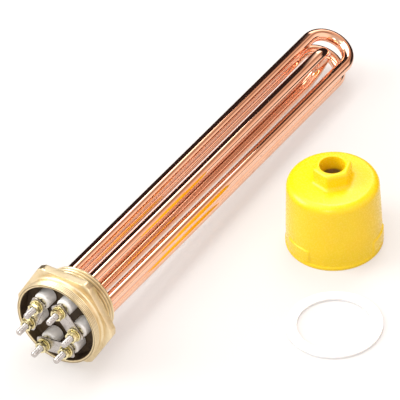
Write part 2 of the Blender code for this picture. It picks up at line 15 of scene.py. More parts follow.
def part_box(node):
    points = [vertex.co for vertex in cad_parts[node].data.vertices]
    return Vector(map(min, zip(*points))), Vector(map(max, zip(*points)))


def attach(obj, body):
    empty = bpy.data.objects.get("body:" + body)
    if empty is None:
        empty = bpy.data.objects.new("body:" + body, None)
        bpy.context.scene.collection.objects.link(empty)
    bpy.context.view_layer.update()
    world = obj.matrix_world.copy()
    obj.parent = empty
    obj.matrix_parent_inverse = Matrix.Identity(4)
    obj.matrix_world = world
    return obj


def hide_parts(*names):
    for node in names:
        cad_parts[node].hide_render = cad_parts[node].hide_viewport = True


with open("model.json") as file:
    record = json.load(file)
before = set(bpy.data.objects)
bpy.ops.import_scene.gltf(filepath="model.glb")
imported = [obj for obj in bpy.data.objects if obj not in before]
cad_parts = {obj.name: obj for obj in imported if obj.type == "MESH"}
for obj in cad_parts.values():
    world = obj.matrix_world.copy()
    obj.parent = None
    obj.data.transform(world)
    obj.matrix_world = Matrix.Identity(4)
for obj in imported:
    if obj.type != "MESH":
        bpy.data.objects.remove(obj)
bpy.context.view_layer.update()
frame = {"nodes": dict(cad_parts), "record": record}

MM = 0.001
MOUNTS = {mount["name"]: mount for mount in frame["record"]["mounts"]}

# Clearance between pieces that meet
SEAT_GAP = 0.3 * MM

# Brass head
HEAD_LENGTH = 28.0 * MM
THREAD_RADIUS = 23.9 * MM
THREAD_PITCH = 2.309 * MM
THREAD_DEPTH = 1.35 * MM
THREAD_CHAMFER = 1.2 * MM
UNDERCUT_RADIUS = 22.4 * MM
UNDERCUT_LENGTH = 2.4 * MM
COLLAR_FLATS = 60.0 * MM
COLLAR_RADIUS = 33.5 * MM
COLLAR_FRONT = -8.6 * MM
COLLAR_BACK = -14.0 * MM
COLLAR_CHAMFER = 0.7 * MM
COLLAR_EDGE = 0.05 * MM
# How far each row of the collar's profile lies inside its flats, from front to back
COLLAR_INSETS = [inset * MM for inset in (0.30, 0.12, 0.0, 0.0, 0.0, 0.10, 0.35)]
SEAL_MOUNT_HEIGHT = 27.0 * MM
CUP_RADIUS = 28.0 * MM
CUP_BORE = 26.2 * MM
CUP_DEPTH = 9.0 * MM
CUP_FILLET = 1.4 * MM
CUP_THREAD_LENGTH = 4.8 * MM
CUP_THREAD_PITCH = 1.1 * MM
CUP_THREAD_DEPTH = 0.42 * MM
CUP_RIM_ROUNDING = 0.4 * MM
HOLE_MARGIN = 1.0 * MM
NECK_RADIUS = 27.2 * MM
NECK_COVE = 1.6 * MM

# Copper elements
LEG_CIRCLE = 16.3 * MM
LEG_FIRST_ANGLE = math.radians(8.2)
LEG_NAMES = "cbafed"
SHEATH_RADIUS = 4.0 * MM
SHEATH_WALL = 0.6 * MM
SHEATH_TOP = 1.0 * MM - CUP_DEPTH
OUTER_REACH = 291.6 * MM
INNER_REACH = OUTER_REACH - 14.4 * MM
ELEMENTS = {"ac": OUTER_REACH, "be": INNER_REACH, "fd": OUTER_REACH}
LEG_WAVER = 0.12 * MM
LEG_WAVES = (1.3, 1.1)
BEND_FLATTENING = 0.04
SOLDER_WIDTH = 1.6 * MM
SOLDER_HEIGHT = 1.3 * MM
SOLDER_HOLLOW = 1.6
SOLDER_UNEVEN = 0.12

# Terminals
BEAD_RADIUS = 5.4 * MM
BEAD_BASE = SEAT_GAP - CUP_DEPTH
BEAD_TOP = BEAD_BASE + 9.0 * MM
BEAD_ROUNDING = 1.6 * MM
STUD_RADIUS = 2.0 * MM
STUD_TIP = 16.5 * MM
STUD_CHAMFER = 0.5 * MM
STUD_PITCH = 0.7 * MM
STUD_THREAD_DEPTH = 0.36 * MM
PIN_RADIUS = 1.5 * MM
PIN_BASE = -88.0 * MM
NUT_FLATS = 7.0 * MM
NUT_CHAMFER = 0.5 * MM
NUT_CORNER_POWER = 90
NUT_COUNTERSINK = 0.25 * MM
NUT_FACE_EDGE = 0.1 * MM
NUT_FACE_DROP = 0.03 * MM
NUT_FACE_INSET = 0.08 * MM
NUT_FACE_ROWS = (4, 8)
NUT_TURN = math.radians(23.0)
LOWER_NUT_HEIGHT = 2.4 * MM
TOP_NUT_HEIGHT = 3.2 * MM
LOWER_NUT_BASE = BEAD_TOP + SEAT_GAP
BAR_BASE = LOWER_NUT_BASE + LOWER_NUT_HEIGHT + SEAT_GAP
BAR_WIDTH = 9.4 * MM
BAR_THICKNESS = 1.0 * MM
BAR_OVERHANG = 5.0 * MM
BAR_CORNER = 2.2 * MM
BAR_EDGE = 0.16 * MM
WASHER_BASE = BAR_BASE + BAR_THICKNESS + SEAT_GAP
WASHER_RADIUS = 4.5 * MM
WASHER_THICKNESS = 0.8 * MM
WASHER_ROUNDING = 0.12 * MM
TOP_NUT_BASE = WASHER_BASE + WASHER_THICKNESS + SEAT_GAP
STUD_HOLE = STUD_RADIUS + SEAT_GAP
BARS = ("bc", "de", "fa")

# Terminal cap
CAP_HEIGHT = 59.5 * MM
CAP_THREAD_RADIUS = CUP_RADIUS + SEAT_GAP
CAP_RIM_RADIUS = 30.2 * MM
CAP_RIM_HEIGHT = 2.2 * MM
CAP_RIM_STEP = 0.6 * MM
CAP_SKIRT_RADIUS = CAP_RIM_RADIUS - CAP_RIM_STEP
CAP_DRAFT = 1.0 * MM
CAP_WALL = 1.9 * MM
CAP_TOP_THICKNESS = 2.2 * MM
CAP_CROWN = 0.6 * MM
CAP_SHOULDER = 5.5 * MM
CAP_THREAD_DEPTH = 13.0 * MM
CAP_LEDGE = 1.0 * MM
BOSS_HEIGHT = 10.6 * MM
BOSS_FLATS = 22.0 * MM
BOSS_ROUNDING = 2.1 * MM
BOSS_FILLET = 2.4 * MM
BOSS_HOLE = 7.9 * MM
BOSS_LIP = 0.5 * MM
BOSS_CORNER_ANGLE = math.radians(-73.0)
BOSS_CORNER_POWER = 15
PAD_COUNT = 3
PAD_FIRST_ANGLE = math.radians(12.5)
PAD_SPAN = math.radians(36.0)
PAD_PROUD = 0.8 * MM
PAD_BASE = 3.2 * MM
PAD_TOP = 12.0 * MM
PAD_EDGE = 1.0 * MM

# Sealing ring
RING_BORE = UNDERCUT_RADIUS + SEAT_GAP
RING_RADIUS = RING_BORE + 6.8 * MM
RING_THICKNESS = 2.0 * MM
RING_ROUNDING = 0.35 * MM

# Finishes: the two tones that each one runs between, or one tone of its own
CLEAN_BRASS = ((0.84, 0.71, 0.47), (0.73, 0.59, 0.35))
# Painted shade for the inside of the terminal cup, from dark brown to near black
CUP_PAINTED_SHADE = ((0.070, 0.042, 0.017), (0.020, 0.009, 0.005))
# Painted shade in the roots of the threads, and how strongly it darkens the brass
THREAD_ROOT_SHADE = (0.13, 0.085, 0.04)
THREAD_ROOT_SHADE_SHARE = 0.6
CLEAN_COPPER = ((0.96, 0.61, 0.44), (0.94, 0.54, 0.35))
COPPER_STREAK = (0.80, 0.43, 0.28)
COPPER_STAIN = (0.50, 0.24, 0.14)
NICKEL = ((0.55, 0.52, 0.50), (0.42, 0.39, 0.37))
PALE_BRASS = ((0.88, 0.80, 0.50), (0.62, 0.54, 0.28))
PORCELAIN_WHITE = ((0.97, 0.95, 0.93), (0.94, 0.90, 0.86))
PORCELAIN_DUST = (0.62, 0.55, 0.46)
CAP_YELLOW = ((0.99, 0.69, 0.008), (0.98, 0.65, 0.006))
RING_WHITE = ((0.95, 0.95, 0.94), (0.92, 0.91, 0.89))
SOLDER_AND_FLUX = ((0.80, 0.72, 0.55), (0.20, 0.17, 0.10))
POWDER_TONES = ((0.82, 0.81, 0.77), (0.70, 0.69, 0.64))
WIRE_TONES = ((0.50, 0.48, 0.46), (0.36, 0.34, 0.33))
RESIN_TONES = ((0.32, 0.13, 0.06), (0.20, 0.08, 0.04))

# Floor
FLOOR_HALF = 6.0
FLOOR_CLOTH = (0.42, 0.41, 0.40)
FLOOR_FLAG = (0.02, 0.015, 0.015)
FLOOR_GLOW = (1.0, 0.965, 0.95, 1.0)
FLOOR_GLOW_STRENGTH = 0.46
FLAG_LEFT_X = (-0.10, -0.12)
FLAG_LEFT_Y = (-0.11, -0.08)
FLAG_BEHIND_Y = (0.18, 0.21)

# Room that the metals mirror. Each zone has the two places where it begins and where it is full,
# on X, Y or Z of a direction, or on its slant: how far it leans to +X, seen along the floor's Y.
LEFT_SLANT = (0.02, -0.10)
AWAY_Y = (-0.05, 0.25)
LOW_BEHIND_Y = (0.70, 0.82)
LOW_BEHIND_Z = (0.45, 0.25)
GAP_START_SLANT = (0.36, 0.42)
GAP_END_SLANT = (0.68, 0.60)
GAP_SHARE = 0.6
FRONT_Y = (0.25, -0.25)
RIGHT_X = (0.50, 0.80)
CEILING_X = (0.10, -0.15)
CEILING_Z = (0.765, 0.82)
BACKLIGHT_X = (0.10, -0.05)
BACKLIGHT_Y = (0.70, 0.74)
BACKLIGHT_Z = (0.34, 0.40)
WALL_LIGHT = (0.78, 0.55, 0.43)
FRONT_LIGHT = (0.72, 0.71, 0.70)
RIGHT_LIGHT = (1.30, 1.12, 1.03)
CEILING_LIGHT = (2.6, 2.55, 2.5)
GAP_LIGHT = (0.08, 0.035, 0.025)
DIM_LIGHT = (0.03, 0.02, 0.02)

# Facets
TURN_STEPS = 288
CAP_STEPS = 360
SMALL_STEPS = 48
STUD_STEPS = 24
SHEATH_STEPS = 48
BEND_STEPS = 40
LEG_STEPS = 14
ROUNDING_STEPS = 4
ROWS_PER_PITCH = 10
SHARP_ANGLE = math.radians(35.0)

# Camera: it looks down on the set from the front right, through a long lens
IMAGE_SIZE = 400
FOCAL_LENGTH = 5826.0
CAMERA_DISTANCE = 3.6
CAMERA_AZIMUTH = math.radians(34.507)
CAMERA_ELEVATION = math.radians(41.0)
CAMERA_ROLL = math.radians(2.855)
AIM_ACROSS = -6.399 * MM
AIM_ALONG = 167.10 * MM
SENSOR_WIDTH = 36.0


def heater_frame():
    """The heater's own frame, from the mount on the collar's sealing face."""
    seal = MOUNTS["seal_face"]
    axis = -Vector(seal["axis"]).normalized()
    across = Vector((1.0, 0.0, 0.0))
    up = axis.cross(across)
    origin = Vector(seal["pos_m"]) - axis * COLLAR_BACK - up * SEAL_MOUNT_HEIGHT
    turn = Matrix((across, up, axis)).transposed().to_4x4()
    return Matrix.Translation(origin) @ turn


def standing_frame(node):
    """An upright frame on the floor, under the middle of a node."""
    low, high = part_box(node)
    return Matrix.Translation(((low[0] + high[0]) / 2, (low[1] + high[1]) / 2, low[2]))


HEATER = heater_frame()


def arc(centre, radius, start, end, steps=ROUNDING_STEPS):
    """Points of an arc in the profile plane, with both ends; angles are in degrees."""
    points = []
    for step in range(steps + 1):
        angle = math.radians(start + (end - start) * step / steps)
        points.append((centre[0] + radius * math.cos(angle), centre[1] + radius * math.sin(angle)))
    return points


def spread(start, end, count):
    """Evenly spread profile points from one point to another, without the first."""
    return [
        (start[0] + (end[0] - start[0]) * i / count, start[1] + (end[1] - start[1]) * i / count)
        for i in range(1, count + 1)
    ]


def smooth_step(value):
    """Soft step from 0 to 1."""
    value = min(max(value, 0.0), 1.0)
    return value * value * (3.0 - 2.0 * value)


def ridge(turns):
    """Height of a rounded thread across one pitch, from 0 at the root to 1 at the crest."""
    return smooth_step(1.0 - abs(2.0 * (turns % 1.0) - 1.0))


def hexagon_radius(angle, flats):
    """Distance from the middle of a hexagon to its edge."""
    sixth = math.pi / 3
    return flats / 2 / math.cos(angle % sixth - sixth / 2)


def soft_hexagon_radius(angle, flats, corner_angle, power):
    """The same for a hexagon with rounded corners: the higher the power, the sharper they are."""
    total = 0.0
    for side in range(6):
        facing = math.cos(angle - corner_angle - math.pi / 6 - side * math.pi / 3)
        total += max(facing, 0.0) ** power
    return flats / 2 * total ** (-1.0 / power)


def eased_ring(bore, radius, thickness, ease, steps=ROUNDING_STEPS):
    """Profile of a flat ring with rounded edges, standing on z = 0."""
    profile = []
    for centre, start in (
        ((radius - ease, thickness - ease), 90.0),
        ((radius - ease, ease), 0.0),
        ((bore + ease, ease), 270.0),
        ((bore + ease, thickness - ease), 180.0),
    ):
        profile += arc(centre, ease, start, start - 90.0, steps)
    return profile


def skin_mesh(name, row_count, steps, place, looped):
    """A closed skin of quads. place(row, angle) gives each point; open ends are fanned."""
    points = []
    for row in range(row_count):
        points += [place(row, math.tau * step / steps) for step in range(steps)]
    faces = []
    for row in range(row_count if looped else row_count - 1):
        here = row * steps
        there = (row + 1) % row_count * steps
        for step in range(steps):
            after = (step + 1) % steps
            faces.append((here + step, there + step, there + after, here + after))
    if not looped:
        for row, turn in ((0, 1), (row_count - 1, -1)):
            ring = [row * steps + step for step in range(steps)]
            middle = len(points)
            points.append(sum((Vector(points[i]) for i in ring), Vector()) / steps)
            for first, second in zip(ring, ring[1:] + ring[:1]):
                faces.append((middle, first, second)[::turn])
    mesh = bpy.data.meshes.new(name)
    mesh.from_pydata([tuple(point) for point in points], [], faces)
    return mesh


def turned_mesh(name, profile, steps, looped, radius_at=None):
    """A profile of (radius, height) points turned about Z, with each radius as the rule says."""
    def place(row, angle):
        radius, height = profile[row]
        if radius_at:
            radius = radius_at(row, angle, radius, height)
        return (radius * math.cos(angle), radius * math.sin(angle), height)
    return skin_mesh(name, len(profile), steps, place, looped)


def face_outwards(mesh):
    """Turn a closed mesh the right side out."""
    volume = 0.0
    mesh.calc_loop_triangles()
    for triangle in mesh.loop_triangles:
        a, b, c = (mesh.vertices[i].co for i in triangle.vertices)
        volume += a.dot(b.cross(c))
    if volume < 0.0:
        mesh.flip_normals()


def put(name, data):
    """A new object in the scene."""
    thing = bpy.data.objects.new(name, data)
    bpy.context.scene.collection.objects.link(thing)
    return thing


def add_piece(name, mesh, material, place, node):
    """Link a piece, dress it and hide the part that it replaces."""
    face_outwards(mesh)
    mesh.materials.clear()
    mesh.materials.append(material)
    mesh.shade_smooth()
    mesh.set_sharp_from_angle(angle=SHARP_ANGLE)
    piece = put(name, mesh)
    piece.matrix_world = place
    bpy.context.view_layer.update()
    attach(piece, "root")
    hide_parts(node)
    return piece


def bake(thing):
    """Replace an object by the mesh that its modifiers give, and return that mesh."""
    bpy.context.view_layer.update()
    seen = thing.evaluated_get(bpy.context.evaluated_depsgraph_get())
    mesh = bpy.data.meshes.new_from_object(seen)
    bpy.data.objects.remove(thing, do_unlink=True)
    return mesh


def drill(mesh, tools):
    """A mesh after one exact Boolean cut for each tool mesh."""
    base = put("base", mesh)
    helpers = [put("tool", tool) for tool in tools]
    for helper in helpers:
        step = base.modifiers.new("cut", "BOOLEAN")
        step.operation = "DIFFERENCE"
        step.solver = "EXACT"
        step.object = helper
    result = bake(base)
    for helper in helpers:
        bpy.data.objects.remove(helper, do_unlink=True)
    return result


def leg_place(leg):
    """Where a leg's axis crosses the heater's XY plane."""
    angle = LEG_FIRST_ANGLE + math.pi / 3 * LEG_NAMES.index(leg)
    return Vector((math.cos(angle), math.sin(angle), 0.0)) * LEG_CIRCLE


# Node trees


def add(tree, kind, inputs=None, **settings):
    """Add a node, set it up, and give its inputs their values or link them."""
    made = tree.nodes.new(kind)
    for key, value in settings.items():
        setattr(made, key, value)
    for key, value in (inputs or {}).items():
        socket = made.inputs[key]
        if isinstance(value, bpy.types.NodeSocket):
            tree.links.new(value, socket)
        else:
            socket.default_value = value
    return made


def maths(tree, operation, first, second=0.0, third=0.0):
    """One Math node's result."""
    made = add(tree, "ShaderNodeMath", {0: first, 1: second, 2: third}, operation=operation)
    return made.outputs[0]


def product(tree, first, *others):
    """Several values multiplied."""
    for other in others:
        first = maths(tree, "MULTIPLY", first, other)
    return first


def distance_from_axis(tree, split):
    """How far a spot, split into its coordinates, lies from the Z axis."""
    square_x = product(tree, split.outputs["X"], split.outputs["X"])
    square = maths(tree, "MULTIPLY_ADD", split.outputs["Y"], split.outputs["Y"], square_x)
    return maths(tree, "SQRT", square)


def blend_colours(tree, factor, first, second):
    """Two colours mixed by a factor."""
    made = add(tree, "ShaderNodeMix", data_type="RGBA")
    share, colour_a, colour_b = made.inputs[0], made.inputs[6], made.inputs[7]
    for socket, value in ((share, factor), (colour_a, first), (colour_b, second)):
        if isinstance(value, bpy.types.NodeSocket):
            tree.links.new(value, socket)
        elif isinstance(value, tuple):
            socket.default_value = (*value, 1.0)
        else:
            socket.default_value = value
    return made.outputs[2]


def map_range(tree, value, low, high, to_low=0.0, to_high=1.0):
    """A value's share of a range, clamped, as a value in another range."""
    made = add(tree, "ShaderNodeMapRange", {
        "Value": value, "From Min": low, "From Max": high, "To Min": to_low, "To Max": to_high,
    })
    return made.outputs["Result"]


def make_group(name, inputs, outputs):
    """A shader node group with named sockets."""
    group = bpy.data.node_groups.new(name, "ShaderNodeTree")
    for label, kind, default in inputs:
        socket = group.interface.new_socket(label, in_out="INPUT", socket_type=kind)
        if default is not None:
            socket.default_value = default
    for label, kind in outputs:
        group.interface.new_socket(label, in_out="OUTPUT", socket_type=kind)
    entry = group.nodes.new("NodeGroupInput")
    leave = group.nodes.new("NodeGroupOutput")
    return group, entry, leave


def turning_marks_group():
    """Fine rings that a lathe tool leaves: they follow radius and height, not the angle."""
    group, entry, leave = make_group("turning_marks", [
        ("Vector", "NodeSocketVector", None),
        ("Rings per metre", "NodeSocketFloat", 2500.0),
    ], [("Height", "NodeSocketFloat")])
    split = add(group, "ShaderNodeSeparateXYZ", {0: entry.outputs["Vector"]})
    radius = distance_from_axis(group, split)
    spot = add(group, "ShaderNodeCombineXYZ", {"X": radius, "Y": split.outputs["Z"]})
    noise = add(group, "ShaderNodeTexNoise", {
        "Vector": spot.outputs[0], "Scale": entry.outputs["Rings per metre"],
        "Detail": 3.0, "Roughness": 0.6,
    }, noise_dimensions="2D")
    group.links.new(noise.outputs["Fac"], leave.inputs["Height"])
    return group


def drawn_lines_group():
    """Long fine lines along Z, as drawing through a die leaves them, broken up along the way."""
    group, entry, leave = make_group("drawn_lines", [
        ("Vector", "NodeSocketVector", None),
        ("Lines per metre", "NodeSocketFloat", 1500.0),
        ("Stretch", "NodeSocketFloat", 0.01),
    ], [("Height", "NodeSocketFloat")])
    squash = add(group, "ShaderNodeCombineXYZ", {"X": 1.0, "Y": 1.0, "Z": entry.outputs["Stretch"]})
    spot = add(group, "ShaderNodeVectorMath", {
        0: entry.outputs["Vector"], 1: squash.outputs[0],
    }, operation="MULTIPLY")
    noise = add(group, "ShaderNodeTexNoise", {
        "Vector": spot.outputs[0], "Scale": entry.outputs["Lines per metre"],
        "Detail": 1.0, "Roughness": 0.5,
    })
    group.links.new(noise.outputs["Fac"], leave.inputs["Height"])
    return group


def patches_group():
    """Cloudy patches with finer breakup, for tarnish, stains and uneven polish."""
    group, entry, leave = make_group("patches", [
        ("Vector", "NodeSocketVector", None),
        ("Patches per metre", "NodeSocketFloat", 60.0),
        ("Low", "NodeSocketFloat", 0.45),
        ("High", "NodeSocketFloat", 0.65),
    ], [("Mask", "NodeSocketFloat")])
    noise = add(group, "ShaderNodeTexNoise", {
        "Vector": entry.outputs["Vector"], "Scale": entry.outputs["Patches per metre"],
        "Detail": 6.0, "Roughness": 0.62, "Distortion": 0.4,
    })
    share = add(group, "ShaderNodeMapRange", {
        "Value": noise.outputs["Fac"],
        "From Min": entry.outputs["Low"],
        "From Max": entry.outputs["High"],
    }, interpolation_type="SMOOTHSTEP")
    group.links.new(share.outputs["Result"], leave.inputs["Mask"])
    return group


TURNING_MARKS = turning_marks_group()
DRAWN_LINES = drawn_lines_group()
PATCHES = patches_group()


def use_group(tree, group, inputs):
    """A group placed in a material: its first output."""
    return add(tree, "ShaderNodeGroup", inputs, node_tree=group).outputs[0]


def patch_mask(tree, spot, per_metre, low, high):
    """Mask of cloudy patches: bare below the low level of their noise, full above the high one."""
    return use_group(tree, PATCHES, {
        "Vector": spot, "Patches per metre": per_metre, "Low": low, "High": high,
    })


def ring_marks(tree, spot, per_metre):
    """Height of the marks of a lathe tool."""
    return use_group(tree, TURNING_MARKS, {"Vector": spot, "Rings per metre": per_metre})


def die_lines(tree, spot, per_metre, stretch):
    """Height of the lines of a drawing die."""
    return use_group(tree, DRAWN_LINES, {
        "Vector": spot, "Lines per metre": per_metre, "Stretch": stretch,
    })


def new_material(name, **values):
    """A material with its Principled shader; values are set on the shader's own sockets."""
    material = bpy.data.materials.new(name)
    material.use_nodes = True
    tree = material.node_tree
    shader = tree.nodes["Principled BSDF"]
    for key, value in values.items():
        shader.inputs[key.replace("_", " ")].default_value = value
    return material, tree, shader


def object_spot(tree):
    """Coordinates in the piece's own frame."""
    return add(tree, "ShaderNodeTexCoord").outputs["Object"]


def between(tree, share, low, high):
    """A value that runs from low to high with a share."""
    return map_range(tree, share, 0.0, 1.0, low, high)


def finish(tree, shader, colour, roughness, height, relief):
    """Feed the shader a colour, a roughness and a bump; relief is what a height of 1 stands for."""
    tree.links.new(colour, shader.inputs["Base Color"])
    tree.links.new(roughness, shader.inputs["Roughness"])
    bump = add(tree, "ShaderNodeBump", {"Height": height, "Distance": relief, "Strength": 1.0})
    tree.links.new(bump.outputs["Normal"], shader.inputs["Normal"])


def head_brass():
    """Satin turned brass with painted shade in its thread roots and painted dark shade inside the
    terminal cup.
    """
    material, tree, shader = new_material("head_brass", Metallic=1.0)
    spot = object_spot(tree)
    marks = ring_marks(tree, spot, 2600.0)
    dull = patch_mask(tree, spot, 90.0, 0.42, 0.68)
    split = add(tree, "ShaderNodeSeparateXYZ", {0: spot})
    radius = distance_from_axis(tree, split)
    height = split.outputs["Z"]
    # Painted shade in the roots of the cup's rim thread and of the pipe thread
    cup_root = map_range(tree, radius, CUP_RADIUS - 0.12 * MM, CUP_RADIUS - 0.36 * MM)
    rim_threads = map_range(tree, height, -CUP_THREAD_LENGTH, -CUP_THREAD_LENGTH + 0.1 * MM)
    beyond_wall = map_range(tree, radius, CUP_BORE + 0.8 * MM, CUP_BORE + 0.9 * MM)
    grooves = product(tree, cup_root, rim_threads, beyond_wall)
    pipe_root = map_range(tree, radius, THREAD_RADIUS - 0.4 * MM, THREAD_RADIUS - 1.2 * MM)
    pipe_start = COLLAR_BACK - UNDERCUT_LENGTH
    pipe_threads = map_range(tree, height, pipe_start, pipe_start - 0.1 * UNDERCUT_LENGTH)
    root_shade = maths(tree, "MAXIMUM", grooves, product(tree, pipe_root, pipe_threads))
    clean = blend_colours(tree, dull, *CLEAN_BRASS)
    bright = blend_colours(tree, product(tree, root_shade, THREAD_ROOT_SHADE_SHARE), clean, THREAD_ROOT_SHADE)
    # The inside of the cup is painted dark as shade, and made rougher and less metallic
    inside = map_range(tree, radius, CUP_BORE + 0.35 * MM, CUP_BORE + 0.1 * MM)
    below_rim = map_range(tree, height, -0.3 * MM, -0.8 * MM)
    above_floor = map_range(tree, height, -CUP_DEPTH - 1.0 * MM, -CUP_DEPTH - 0.5 * MM)
    cup = product(tree, inside, below_rim, above_floor)
    colour = blend_colours(tree, cup, bright, blend_colours(tree, dull, *CUP_PAINTED_SHADE))
    rough = map_range(tree, marks, 0.3, 0.7, 0.34, 0.46)
    rough = maths(tree, "MULTIPLY_ADD", cup, 0.25, rough)
    metal = maths(tree, "SUBTRACT", 1.0, product(tree, cup, 0.85))
    tree.links.new(metal, shader.inputs["Metallic"])
    finish(tree, shader, colour, rough, marks, 0.02 * MM)
    return material


def bright_copper():
    """Polished drawn copper with long die lines, faint heat colour and small stains."""
    material, tree, shader = new_material("bright_copper", Metallic=1.0)
    spot = add(tree, "ShaderNodeAttribute", attribute_name="drawn").outputs["Vector"]
    lines = die_lines(tree, spot, 700.0, 0.004)
    waves = die_lines(tree, spot, 140.0, 0.05)
    heat = patch_mask(tree, spot, 70.0, 0.46, 0.75)
    stains = patch_mask(tree, spot, 420.0, 0.66, 0.72)
    clean = blend_colours(tree, heat, *CLEAN_COPPER)
    streaked = blend_colours(tree, map_range(tree, lines, 0.45, 0.75), clean, COPPER_STREAK)
    colour = blend_colours(tree, stains, streaked, COPPER_STAIN)
    rough = map_range(tree, lines, 0.3, 0.75, 0.03, 0.06)
    rough = maths(tree, "MULTIPLY_ADD", stains, 0.2, rough)
    height = maths(tree, "MULTIPLY_ADD", waves, 8.0, lines)
    finish(tree, shader, colour, rough, height, 0.002 * MM)
    return material


def plated_steel():
    """Nickel plating, satin, with fine scuffs."""
    material, tree, shader = new_material("plated_steel", Metallic=1.0)
    spot = object_spot(tree)
    scuffs = patch_mask(tree, spot, 700.0, 0.40, 0.70)
    dull = patch_mask(tree, spot, 150.0, 0.45, 0.65)
    colour = blend_colours(tree, dull, *NICKEL)
    finish(tree, shader, colour, between(tree, scuffs, 0.24, 0.42), scuffs, 0.01 * MM)
    return material


def terminal_brass():
    """Small brass hardware, paler and greener than the head, with dull patches."""
    material, tree, shader = new_material("terminal_brass", Metallic=1.0)
    spot = object_spot(tree)
    dull = patch_mask(tree, spot, 260.0, 0.42, 0.66)
    marks = ring_marks(tree, spot, 5000.0)
    colour = blend_colours(tree, dull, *PALE_BRASS)
    finish(tree, shader, colour, between(tree, dull, 0.18, 0.36), marks, 0.012 * MM)
    return material


def glazed_porcelain():
    """White porcelain under a clear glaze, with faint warm clouds and dust in its pores."""
    material, tree, shader = new_material("glazed_porcelain", Coat_Weight=0.6, Coat_Roughness=0.08)
    spot = object_spot(tree)
    clouds = patch_mask(tree, spot, 180.0, 0.35, 0.75)
    specks = patch_mask(tree, spot, 1500.0, 0.68, 0.74)
    white = blend_colours(tree, clouds, *PORCELAIN_WHITE)
    colour = blend_colours(tree, specks, white, PORCELAIN_DUST)
    finish(tree, shader, colour, between(tree, clouds, 0.30, 0.45), clouds, 0.03 * MM)
    return material


def yellow_plastic():
    """Glossy moulded plastic, a little translucent, with the faint grain of its mould."""
    material, tree, shader = new_material(
        "yellow_plastic", Subsurface_Weight=0.12, Subsurface_Scale=1.0,
        Subsurface_Radius=(6.0 * MM, 2.4 * MM, 0.4 * MM),
    )
    spot = object_spot(tree)
    grain = patch_mask(tree, spot, 900.0, 0.30, 0.80)
    flow = patch_mask(tree, spot, 35.0, 0.30, 0.75)
    colour = blend_colours(tree, flow, *CAP_YELLOW)
    height = maths(tree, "MULTIPLY_ADD", flow, 20.0, grain)
    finish(tree, shader, colour, between(tree, grain, 0.22, 0.34), height, 0.001 * MM)
    return material


def white_silicone():
    """Soft white sealing material, slightly translucent, with a fine moulded grain."""
    material, tree, shader = new_material(
        "white_silicone", Subsurface_Weight=0.4, Subsurface_Scale=1.0,
        Subsurface_Radius=(3.0 * MM, 2.6 * MM, 2.2 * MM),
    )
    spot = object_spot(tree)
    grain = patch_mask(tree, spot, 1300.0, 0.30, 0.80)
    dust = patch_mask(tree, spot, 120.0, 0.50, 0.80)
    colour = blend_colours(tree, dust, *RING_WHITE)
    finish(tree, shader, colour, between(tree, grain, 0.45, 0.65), grain, 0.03 * MM)
    return material


def silver_solder():
    """Brazed fillets: pale metal with dark flux stains."""
    material, tree, shader = new_material("silver_solder", Metallic=1.0)
    flux = patch_mask(tree, object_spot(tree), 500.0, 0.45, 0.65)
    colour = blend_colours(tree, flux, *SOLDER_AND_FLUX)
    finish(tree, shader, colour, between(tree, flux, 0.28, 0.60), flux, 0.15 * MM)
    return material


def plain_matter(name, tones, smoothest, metallic, patches_per_metre):
    """A two-tone material for what lies inside the elements."""
    material, tree, shader = new_material(name, Metallic=metallic)
    grain = patch_mask(tree, object_spot(tree), patches_per_metre, 0.45, 0.65)
    colour = blend_colours(tree, grain, *tones)
    rough = between(tree, grain, smoothest, smoothest + 0.15)
    finish(tree, shader, colour, rough, grain, 0.05 * MM)
    return material


# Pieces


def thread_rows(radius, start, end, pitch):
    """Evenly spaced profile points along a thread, down the outer side."""
    rows = max(2, round((start - end) / pitch * ROWS_PER_PITCH))
    return spread((radius, start), (radius, end), rows)


